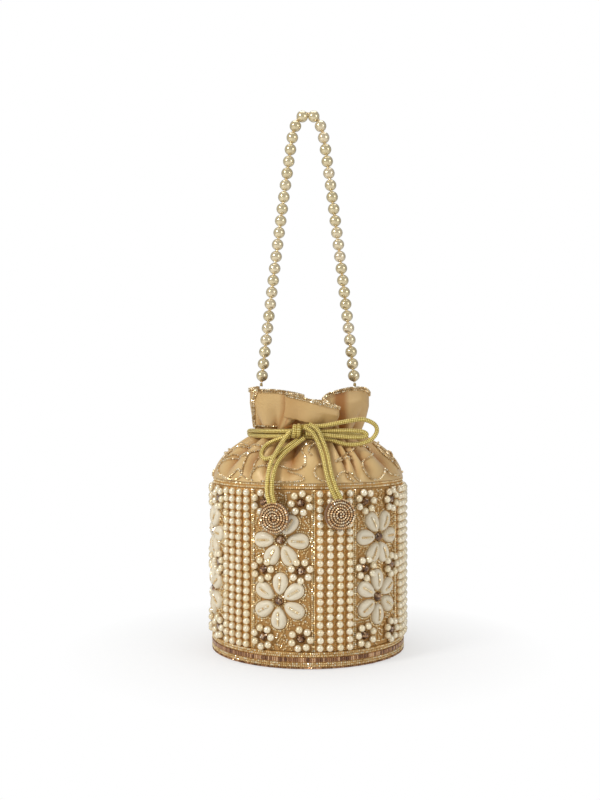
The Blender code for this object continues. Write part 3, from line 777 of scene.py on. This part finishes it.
def flap_at(place):
    """How far the flap is folded under at this place, and how high its crease lies."""
    along = (place - FLAP[0]) / (FLAP[1] - FLAP[0])
    return (max(0, min(1, along * 7, (1 - along) * 1.7)),
            FLAP_CREASE[0] + (FLAP_CREASE[1] - FLAP_CREASE[0]) * along)


def collar_point(place, level, lift=0.0):
    """A point of the satin; level runs 0 to 1 up the shoulder and 1 to 2 up the ruffle."""
    neck, hem, hem_radius, hem_height = fold_at(place)
    if level <= 1:
        rise, share, gather = eased(SHOULDER, level * (len(SHOULDER) - 1))
        height = COLLAR_FOOT + rise * (NECK_LOW - COLLAR_FOOT)
        radius = NECK_RADIUS + share * (FOOT_RADIUS - NECK_RADIUS)
        gather *= PLEAT_DEPTH * pleat(place)
        return round_point(neck, radius + gather + lift, height + gather * 0.5 + lift * 0.6)
    up = level - 1
    gather = 0.8 * PLEAT_DEPTH * pleat(place) * max(0, 1 - 1.4 * up)
    flare = min(1.0, up * 1.5) ** 0.62
    folded, crease = flap_at(place)
    if up > crease:
        flare += folded * 0.8 * (1 - flare)
    else:
        flare -= folded * 0.9 * flare * max(0, 1 - (crease - up) / 0.35)
    angle = neck + (hem - neck) * min(1.0, up * 1.7)
    radius = NECK_RADIUS + 0.0003 + (hem_radius - NECK_RADIUS) * flare + gather
    height = NECK_HIGH - 0.0029 * (1 - min(1, up * 14)) + (hem_height - NECK_HIGH) * up
    return round_point(angle, radius + lift, height)


def valley(place, level):
    """Painted shade of the satin by how deep in a fold it lies: 0 on a crest and 1 in a valley, with
    more painted shade in the slot, beside, on and under the flap, and over the ruffle.
    """
    # Painted shade: dark in the pleats' valleys, in the slot at the flap's right edge, as a painted
    # shadow left of the flap's edge, under and on the flap, and a little over all the ruffle.
    deep = max(0, 0.38 - pleat(place)) ** 1.2
    if level <= 1:
        return deep * min(1, level * 2.2)
    slot = min(1, 1.6 * max(0, 1 - abs(place - SLOT) / 0.75))
    behind = 0.8 * (1 - abs(place - BEHIND_FLAP[0]) / BEHIND_FLAP[1])
    folded, crease = flap_at(place)
    tuck = folded * (1 if crease + 1 - level > 0 else FLAP_SHADE)
    return max(deep * max(0, 1 - (level - 1) * 2), slot, behind, tuck, RUFFLE_SHADE)


bm = bmesh.new()
bm.loops.layers.uv.new("cloth")
painted_fold_shade = bm.verts.layers.float.new("painted_fold_shade")
columns = len(FOLDS) * FOLD_STEPS
rows = SHOULDER_ROWS + RUFFLE_ROWS
bmesh.ops.create_grid(bm, x_segments=columns, y_segments=rows, size=0.5, calc_uvs=True)
for vert in bm.verts:
    across, row = vert.co.x + 0.5, round((vert.co.y + 0.5) * rows)
    level = row / SHOULDER_ROWS if row <= SHOULDER_ROWS else 1 + (row - SHOULDER_ROWS) / RUFFLE_ROWS
    vert.co = collar_point(across * len(FOLDS), level)
    # Each point keeps its painted shade for the satin's colour.
    vert[painted_fold_shade] = valley(across * len(FOLDS), level)
bmesh.ops.remove_doubles(bm, verts=bm.verts, dist=0.00001)
for face in bm.faces:
    face.smooth = True
collar = shown("satin_ruffle", mesh_of(bm, "satin_ruffle"))
doubled = collar.modifiers.new("double cloth", "SOLIDIFY")
doubled.thickness = SATIN_THICK
doubled.offset = -1

satin = Finish("champagne_satin", {"Sheen Weight": 0.3, "Sheen Roughness": 0.4,
                                   "Anisotropic": 0.3, "Metallic": 0.08})
around, up = satin.parts(satin.node("UVMap", {"uv_map": "cloth"}, {}))[:2]
threads = weave(around * SATIN_FLAT[0], up * SATIN_FLAT[1], SATIN_THREAD)
soft, creases = satin.noise(60.0, 5.0), satin.noise(140.0, 2.0, 1.2)
lit = satin.blend(soft, (0.62, 0.40, 0.15, 1), (0.74, 0.52, 0.235, 1))
# Painted shade: the satin's colour goes to a deep orange-brown by the points' painted shade in the
# folds, the slot and round the flap.
satin.dress(color=satin.blend(satin.kept("painted_fold_shade"), lit, (0.40, 0.16, 0.03, 1)),
            rough=0.34 + soft * 0.14,
            normal=satin.bump(0.35, 0.0006, creases * 0.8 + threads * 0.05))
collar.data.materials.append(satin.material)
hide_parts("satin_collar")


# Beads on the satin
# Two rows of silver-gold seed beads along the hem, and single rows couched in scrolls and
# zigzags over the shoulder.
HEM_LEVELS = (1.985, 1.93)
HEM_SEED = Vector((0.0012, 0.0016, 0.0016))
# Rows that run down the ruffle: the folds and the levels where they begin and end
EDGE_ROWS = ((9.30, 1.96, 8.05, 1.10), (9.50, 1.96, 8.25, 1.10))
FOOT_ROW = (8.4, 11.2, 1.13)   # first and last fold, and the level, of a row round the neck
# Couched lines over the front of the shoulder, as folds and levels; the back repeats them
SCROLLS = (((10.2, 0.58), (10.4, 0.32), (10.5, 0.12), (10.0, 0.03), (9.3, 0.04), (8.5, 0.10)),
           ((8.8, 0.74), (7.4, 0.74), (6.6, 0.62), (6.6, 0.38)),
           ((10.3, 0.58), (9.6, 0.50), (8.7, 0.54), (8.1, 0.46), (7.9, 0.34)),
           ((13.3, 0.38), (11.7, 0.28), (11.4, 0.12), (11.7, 0.03)),
           ((12.6, 0.38), (14.3, 0.36), (15.3, 0.28), (15.7, 0.36)),
           ((14.9, 0.26), (15.6, 0.14), (15.5, 0.06), (14.4, 0.03), (12.6, 0.04)),
           ((16.1, 0.82), (15.6, 0.74), (15.5, 0.64), (15.7, 0.54), (15.7, 0.36)),
           ((16.5, 0.82), (16.1, 0.74), (15.9, 0.64), (16.1, 0.54)),
           ((16.7, 0.40), (16.3, 0.32), (16.2, 0.20), (16.4, 0.10), (17.0, 0.03)),
           ((17.4, 0.04), (17.9, 0.20), (19.1, 0.22), (20.5, 0.10), (21.3, 0.03)),
           ((18.7, 0.16), (19.0, 0.10), (20.1, 0.03)),
           ((17.7, 0.44), (19.1, 0.54), (21.4, 0.62), (23.4, 0.72)),
           ((17.7, 0.42), (19.5, 0.50), (21.4, 0.50)),
           ((23.8, 0.72), (25.2, 0.74), (24.8, 0.60), (22.9, 0.42), (22.1, 0.28), (22.7, 0.12),
            (23.6, 0.04), (24.2, 0.12), (24.7, 0.24), (25.0, 0.14), (25.8, 0.06)),
           ((25.8, 0.76), (25.6, 0.54), (25.8, 0.36), (26.2, 0.20)))
BACK = 19.5                   # folds from a line at the front to its like at the back

silver_seed = bead_finish("silver_seed", (
    (0.0, (0.54, 0.36, 0.15)), (0.3, (0.76, 0.56, 0.30)), (0.7, (0.89, 0.74, 0.48)),
    (1.0, (0.95, 0.87, 0.68))), 0.24, 0.75, 0.2)


def walked(path, spacing, start=0.0):
    """Points at an even spacing along a fine line, and the steps of the line they lie on."""
    found, steps, due, gone = [], [], start, 0.0
    for step, (a, b) in enumerate(zip(path, path[1:])):
        length = (b - a).length
        while length > 0 and due <= gone + length:
            found.append(a.lerp(b, (due - gone) / length))
            steps.append(step)
            due += spacing
        gone += length
    return found, steps


def on_satin(place, level, lift):
    """A point just off the satin, and the way that its face looks."""
    point = collar_point(place, level, lift)
    low = collar_point(place, max(level - 0.02, 0))
    ahead = collar_point(place + 0.1, level)
    base = collar_point(place, level)
    out = (ahead - base).cross(base - low)
    return point, out.normalized() if out.length > 0 else Vector((0, 0, 1))


def couched(places):
    """Frames of beads that lie end to end on the satin along a line of folds and levels."""
    line = [on_satin(place, level, HEM_SEED.z * 0.35) for place, level in places]
    found = []
    for spot, step in zip(*walked([point for point, out in line], HEM_SEED.x * 1.05)):
        ahead = (line[step + 1][0] - line[step][0]).normalized()
        side = line[step][1].cross(ahead).normalized()
        turn = Matrix((ahead, side, ahead.cross(side))).transposed().to_4x4()
        found.append(Matrix.Translation(spot) @ turn)
    return found


def straight(first, last, count):
    """Even steps from one fold and level to another."""
    return [tuple(a + (b - a) * step / count for a, b in zip(first, last))
            for step in range(count + 1)]


beads = []
for level in HEM_LEVELS:
    beads += couched([(count / 12, level) for count in range(len(FOLDS) * 12 + 1)])
for place, high, foot, low in EDGE_ROWS:
    beads += couched(straight((place, high), (foot, low), 20))
beads += couched(straight((FOOT_ROW[0], FOOT_ROW[2]), (FOOT_ROW[1], FOOT_ROW[2]), 30))
for shift in (0, BACK):
    for figure in SCROLLS:
        curve = [eased(figure, step / 12) for step in range(12 * len(figure) - 11)]
        beads += couched([(place + shift, level) for place, level in curve])
hem_seed = bead_shape(6, 4, HEM_SEED, smooth=False)
satin_beads = beadwork("satin_beads", (hem_seed, rolled(beads), silver_seed))


# Pearl carrying loop
# Forty-six large champagne pearls on a stiff nylon thread, with a tiny gold bead on each
# side of every one. The thread is sewn to the hem's two peaks with a small knot.
ANCHOR = Vector((0.0327, 0, 0.1827))  # the knot on the right peak, in line with the swing
LOOP_TOP = 0.3710
LOOP_PEARL = 0.0082
LOOP_PITCH = 0.00845
KNOT_ROOM = 0.0017            # from the hem's peak to the first pearl
LOOK_AHEAD = 0.0005           # from a pearl's middle to the point it is threaded towards
LOOP_CROWN = ((0, 0, LOOP_TOP), (0.0068, 0, LOOP_TOP), (0.0094, 0, LOOP_TOP - 0.0070),
              (0.0114, 0, LOOP_TOP - 0.0182))
LOOP_SIDE = ((0.0114, 0, LOOP_TOP - 0.0182), (0.0196, 0, LOOP_TOP - 0.0745),
             (0.0266, 0, ANCHOR.z + 0.0560), (ANCHOR.x, 0, ANCHOR.z))


def length_of(path):
    """Length along a line of points."""
    return sum((b - a).length for a, b in zip(path, path[1:]))


def tube_mesh(points, radius, around, uv_name, relief=None):
    """A round cord along these points; relief raises its face by place along and round it."""
    bm = bmesh.new()
    layer = bm.loops.layers.uv.new(uv_name)
    ahead = [(b - a).normalized() for a, b in zip(points, points[1:])]
    ahead.append(ahead[-1])
    across = ahead[0].orthogonal().normalized()
    rings, gone = [], 0.0
    for index, point in enumerate(points):
        across = (across - ahead[index] * across.dot(ahead[index])).normalized()
        up = ahead[index].cross(across)
        if index:
            gone += (point - points[index - 1]).length
        ring = []
        for side in range(around):
            turn = 2 * math.pi * side / around
            reach = radius * (1 + (relief(gone, side / around) if relief else 0))
            ring.append(bm.verts.new(point + (across * math.cos(turn)
                                              + up * math.sin(turn)) * reach))
        if rings:
            for side in range(around):
                after = (side + 1) % around
                face = bm.faces.new((rings[-1][1][side], rings[-1][1][after], ring[after],
                                     ring[side]))
                face.smooth = True
                spots = ((side, rings[-1][0]), (side + 1, rings[-1][0]), (side + 1, gone),
                         (side, gone))
                for loop, (s, along) in zip(face.loops, spots):
                    loop[layer].uv = (s / around, along / (2 * radius))
        rings.append((gone, ring))
    for end in (rings[0][1][::-1], rings[-1][1]):
        bm.faces.new(end)
    bmesh.ops.recalc_face_normals(bm, faces=bm.faces)
    return mesh_of(bm, "cord")


champagne_pearl = bead_finish("champagne_pearl", (
    (0.0, (0.67, 0.55, 0.30)), (0.5, (0.75, 0.63, 0.375)), (1.0, (0.81, 0.68, 0.455))),
    0.22, 0.5, 1.0, 0.08, 1.8)
half = interpolate_bezier(*LOOP_CROWN, 24)[:-1] + interpolate_bezier(*LOOP_SIDE, 60)
last = length_of(half) - KNOT_ROOM - LOOP_PEARL / 2
count = round(last / LOOP_PITCH + 0.5)
pitch = last / (count - 0.5)
pearls, collars = [], []
for side in (1, -1):
    for bead in range(count):
        spot, after = walked(half, LOOK_AHEAD, (bead + 0.5) * pitch)[0][:2]
        ahead = (after - spot).normalized()
        ahead.x *= side
        spot.x *= side
        turn = ahead.to_track_quat("X", "Y").to_matrix().to_4x4()
        pearls.append(Matrix.Translation(spot) @ turn)
        collars += [pearls[-1] @ Matrix.Translation((LOOP_PEARL * share, 0, 0))
                    for share in (-0.505, 0.505)]
loop_pearls = beadwork("loop_pearls",
                       (bead_shape(24, 16, (LOOP_PEARL * 0.985, LOOP_PEARL, LOOP_PEARL)), pearls,
                        champagne_pearl),
                       (bead_shape(8, 6, (0.0011, 0.0020, 0.0020)), collars, gold_seed),
                       body="handle")
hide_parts("pearl_handle")


# Drawcord
# A braided cord of olive-gold metallic yarn, 2.9 mm thick. It runs round the neck under
# the ruffle and is tied at the front in a bow: two loops on the left, one of them pulled
# flat along the neck, two on the right and two doubled tails.
CORD = 0.00145
CORD_SIDES = 16
CORD_STEP = 0.00035           # longest step of the mesh along a cord
BRAID = 0.0012                # length of one diamond of the braid
BRAID_STRANDS = 4
NECK_STEPS = 120
NECK_CORD = (NECK_RADIUS + 0.0019 + 0.0003 + CORD, 0.1487)
BOW_KNOT = Vector((-0.0072, -0.0445, 0.1512))
# Points of each stretch of the cord, in millimetres
ROUTES = {
    "left_tail_outer": ((-12.3, -46.2, 150.8), (-16.2, -48.8, 145.5), (-20.5, -55.2, 138.5),
        (-24.3, -61.8, 131.2), (-26.2, -65.2, 121.5), (-26.5, -67.8, 113.0),
        (-25.0, -69.0, 106.2)),
    "left_tail_inner": ((-2.8, -47.8, 146.6), (-8.6, -50.0, 142.5), (-15.5, -54.5, 137.0),
        (-20.5, -60.0, 130.5), (-23.0, -66.2, 121.5), (-23.3, -69.0, 113.0),
        (-21.9, -69.7, 106.4)),
    "left_loop": ((-12.0, -43.2, 147.5), (-19.0, -42.5, 146.0), (-27.5, -43.0, 142.0),
        (-30.8, -47.0, 136.8), (-28.8, -52.0, 133.5), (-23.2, -53.7, 134.7),
        (-15.0, -50.0, 140.2), (-7.0, -45.8, 145.5)),
    "right_tail_inner": ((-3.0, -48.0, 154.0), (2.0, -49.2, 151.0), (5.6, -50.7, 145.0),
        (9.0, -57.0, 135.5), (11.2, -66.0, 124.5), (14.0, -70.8, 115.5), (17.2, -71.8, 108.9)),
    "right_tail_outer": ((0.2, -48.4, 156.0), (5.8, -49.4, 152.2), (9.2, -50.8, 145.0),
        (12.3, -56.5, 135.8), (14.4, -65.5, 124.5), (17.2, -70.2, 115.5), (20.4, -70.9, 108.9)),
    "right_loop_large": ((-2.8, -44.5, 154.5), (8.0, -45.0, 154.5), (17.0, -45.0, 156.0),
        (28.0, -44.5, 158.0), (36.5, -42.5, 158.6), (43.5, -40.5, 155.5), (45.2, -39.5, 150.8),
        (41.5, -40.0, 145.5), (33.0, -41.8, 142.5), (24.0, -43.5, 142.5), (15.0, -43.8, 145.2),
        (6.0, -43.8, 147.0), (-3.4, -43.7, 147.4)),
    "right_loop_small": ((-2.6, -43.4, 150.8), (9.0, -43.0, 150.8), (20.0, -43.0, 151.3),
        (29.0, -42.0, 151.3), (36.0, -40.5, 150.5), (38.5, -40.0, 148.4), (35.0, -41.0, 147.0),
        (28.0, -42.8, 147.0), (20.0, -44.7, 147.6), (12.0, -46.2, 148.4), (5.0, -46.4, 149.0),
        (-1.8, -46.4, 149.5)),
}

gold_cord = Finish("gold_braid", {"Roughness": 0.38, "Metallic": 0.35, "Sheen Weight": 0.2})
round_it, along = gold_cord.parts(gold_cord.node("UVMap", {"uv_map": "braid"}, {}))[:2]
ahead = along * (2 * CORD * math.pi / BRAID)
aside = round_it * (BRAID_STRANDS * 2 * math.pi)
strands = (ahead + aside).sine() * (ahead - aside).sine()
yarn = gold_cord.noise(1400.0, 2.0)
# Painted shade and painted highlight: the braid's raised strands are painted bright and its hollows
# dark, over the yarn's own tone, which varies at random.
lit = 0.45 + strands * 0.45 + (yarn - 0.5) * 0.6
gold_cord.dress(color=gold_cord.ramp(lit, (
                    (0.10, (0.26, 0.16, 0.015)), (0.40, (0.54, 0.39, 0.07)),
                    (0.65, (0.88, 0.70, 0.20)), (0.95, (0.98, 0.93, 0.52)))),
                normal=gold_cord.bump(0.6, 0.0003, strands * 0.5 + yarn * 0.5))


def flowing(points):
    """A smooth line through given points of a cord's route."""
    slopes = [points[1] - points[0]]
    slopes += [(b - a) / 2 for a, b in zip(points, points[2:])]
    slopes.append(points[-1] - points[-2])
    path = []
    for i in range(len(points) - 1):
        path += interpolate_bezier(points[i], points[i] + slopes[i] / 3,
                                   points[i + 1] - slopes[i + 1] / 3, points[i + 1], 12)[:-1]
    return path + [points[-1]]


def route(name):
    """The smooth line of one stretch of the cord."""
    return flowing([Vector([length / 1000 for length in point]) for point in ROUTES[name]])


def braid_relief(gone, around):
    """Height of the braid's strands, as a share of the cord's radius."""
    ahead, aside = math.pi * gone / BRAID, BRAID_STRANDS * 2 * math.pi * around
    return 0.04 * math.sin(ahead + aside) * math.sin(ahead - aside)


def braided(name, path):
    """A stretch of the cord."""
    whole = length_of(path)
    spots = walked(path, whole / math.ceil(whole / CORD_STEP) * 0.99999)[0]
    mesh = tube_mesh(spots, CORD, CORD_SIDES, "braid", braid_relief)
    mesh.materials.append(gold_cord.material)
    made = shown(name, mesh)
    return made, whole


def free_cord(name, path, node):
    """A stretch of the cord that hangs or lies free."""
    made, whole = braided(name, path)
    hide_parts(node)


bow_angle = math.atan2(BOW_KNOT.x, -BOW_KNOT.y)
free_cord("neck_drawcord",
          [round_point(bow_angle + 2 * math.pi * spot / NECK_STEPS, *NECK_CORD)
           for spot in range(NECK_STEPS + 1)], "neck_cord")
for name in ("left_loop", "right_loop_large", "right_loop_small"):
    free_cord(name + "_cord", route(name), name)

# The second loop on the left, pulled flat along the neck over the drawn cord
flat_loop = [round_point(math.radians(angle), radius, height) for angle, radius, height in (
    (-13, 0.0446, 0.1478), (-30, 0.0424, 0.1474), (-50, 0.0418, 0.1472), (-68, 0.0416, 0.1474),
    (-80, 0.0412, 0.1478), (-83, 0.0412, 0.1488), (-79, 0.0414, 0.1500), (-66, 0.0416, 0.1506),
    (-48, 0.0418, 0.1507), (-30, 0.0424, 0.1508), (-13, 0.0452, 0.1512))]
flat_loop_cord, whole = braided("flat_loop_cord", flowing(flat_loop))
flowing(flat_loop)

# The knot itself: the cord wound twice round its own strands, a little aslant
WRAP = (0.0056, 0.0031, 0.0036)    # width of the turns, and their reach out and up
WRAP_TURNS = 2.0
WRAP_STEPS = 96
WRAP_END_STEPS = 3            # the ends are tucked in
WRAP_TUCK = 0.72
WRAP_SLANT = 0.0008
WRAP_SHIFT = 0.0004
wraps = []
for spot in range(WRAP_STEPS + 1):
    along = spot / WRAP_STEPS - 0.5
    turn = 2 * math.pi * WRAP_TURNS * along + math.pi / 2
    reach = 1.0 if WRAP_END_STEPS < spot < WRAP_STEPS - WRAP_END_STEPS else WRAP_TUCK
    wraps.append(BOW_KNOT + Vector((WRAP[0] * along + WRAP_SLANT * math.sin(turn),
                                    WRAP[1] * reach * math.cos(turn) - WRAP_SHIFT,
                                    WRAP[2] * reach * math.sin(turn))))
bow_wraps = braided("bow_wraps", wraps)[0]
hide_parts("bow_knot")


# Beaded discs
# Each doubled tail ends in a disc of felt, covered on its face with one string of
# pinkish gold seed beads coiled from the middle outwards.
DISC_RADIUS = 0.0102
DISC_CENTRE = 0.0722          # of the disc, from the bag's axis
# Way that each disc faces, and the height of its middle
DISCS = {"left": (math.radians(-17.7), 0.0967), "right": (math.radians(15.7), 0.0992)}
COIL_PITCH = 0.00182
COIL_DOME = 0.0009
COIL_SEED = 0.0015
COIL_RISE = 0.0016            # middle of the outermost seeds above the disc's middle
FELT_THICK = 0.0026

rose_seed = bead_finish("rose_seed", (
    (0.0, (0.70, 0.40, 0.17)), (0.3, (0.86, 0.56, 0.28)), (0.7, (0.95, 0.72, 0.43)),
    (1.0, (0.97, 0.86, 0.64))), 0.2, 0.5, 0.5)
felt = Finish("rose_felt", {"Roughness": 0.9, "Sheen Weight": 0.4})
fluff = felt.noise(1600.0, 4.0)
felt.dress(color=felt.blend(fluff, (0.14, 0.06, 0.02, 1), (0.30, 0.15, 0.06, 1)),
           normal=felt.bump(0.7, 0.0003, fluff))

bm = bmesh.new()
bmesh.ops.create_cone(bm, cap_ends=True, segments=40, radius1=DISC_RADIUS - 0.0004,
                      radius2=DISC_RADIUS - 0.0004, depth=FELT_THICK)
rims = [edge for edge in bm.edges if len({face.normal.z > 0.5 for face in edge.link_faces}) > 1
        or len({face.normal.z < -0.5 for face in edge.link_faces}) > 1]
bmesh.ops.bevel(bm, geom=rims, offset=0.0007, segments=3, profile=0.5, affect="EDGES",
                material=-1)
felt_shape = shape_of(bm)

coil_seed = bead_shape(6, 4, (COIL_SEED * 0.9, COIL_SEED, COIL_SEED), smooth=False)
for hand, (angle, height) in DISCS.items():
    middle = seat(angle, DISC_CENTRE, height)
    coil, turn = [], 0.5 * math.pi
    while COIL_PITCH * turn / (2 * math.pi) < DISC_RADIUS - COIL_SEED * 0.3:
        reach = COIL_PITCH * turn / (2 * math.pi)
        lift = COIL_RISE + COIL_DOME * (1 - (reach / DISC_RADIUS) ** 2)
        coil.append(middle @ Matrix.Rotation(turn, 4, "Z") @ Matrix.Translation((reach, 0, lift))
                    @ upright)
        turn += COIL_SEED * 0.94 / reach
    disc = beadwork(f"coiled_disc_{hand}",
                    (felt_shape, [raised(middle, -0.0002)], felt),
                    (coil_seed, rolled(coil), rose_seed))
    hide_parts(f"{hand}_disc")
    for part in ("outer", "inner"):
        name = f"{hand}_tail_{part}"
        free_cord(name + "_cord", route(name), name)


# Sewn knots of the carrying loop
# Two small knots of gold thread wound over itself, where the loop's nylon is stitched to
# the hem's two peaks. The loop swings on them.
gold_thread = Finish("gold_thread", {"Roughness": 0.45, "Metallic": 0.3})
twist = gold_thread.node("TexWave", {"bands_direction": "Z"}, {
    "Vector": gold_thread.place(), "Scale": 900.0, "Distortion": 2.0})
gold_thread.dress(color=gold_thread.blend(twist, (0.44, 0.30, 0.10, 1), (0.78, 0.62, 0.30, 1)),
                  normal=gold_thread.bump(0.6, 0.0002, twist))
KNOT_REACH = 0.00075          # the first bead of the strand swings just clear of the knot
KNOT_ENDS = (-0.0014, 0.0006)
KNOT_THREAD = 0.0003
KNOT_TURNS = 4
KNOT_STEPS = 96
for hand, side in (("left", -1), ("right", 1)):
    spot = Vector((side * ANCHOR.x, 0, ANCHOR.z))
    line = []
    for step in range(KNOT_STEPS + 1):
        turn = 2 * math.pi * KNOT_TURNS * step / KNOT_STEPS
        rise = KNOT_ENDS[0] + (KNOT_ENDS[1] - KNOT_ENDS[0]) * step / KNOT_STEPS
        reach = math.sqrt(KNOT_REACH ** 2 - max(0, rise) ** 2)
        line.append(spot + Vector((reach * math.cos(turn), reach * math.sin(turn), rise)))
    mesh = tube_mesh(line, KNOT_THREAD, 8, "thread")
    mesh.materials.append(gold_thread.material)
    knot = shown(f"loop_knot_{hand}", mesh)
    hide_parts(f"{hand}_thread_knot")


# Sizes
low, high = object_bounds()
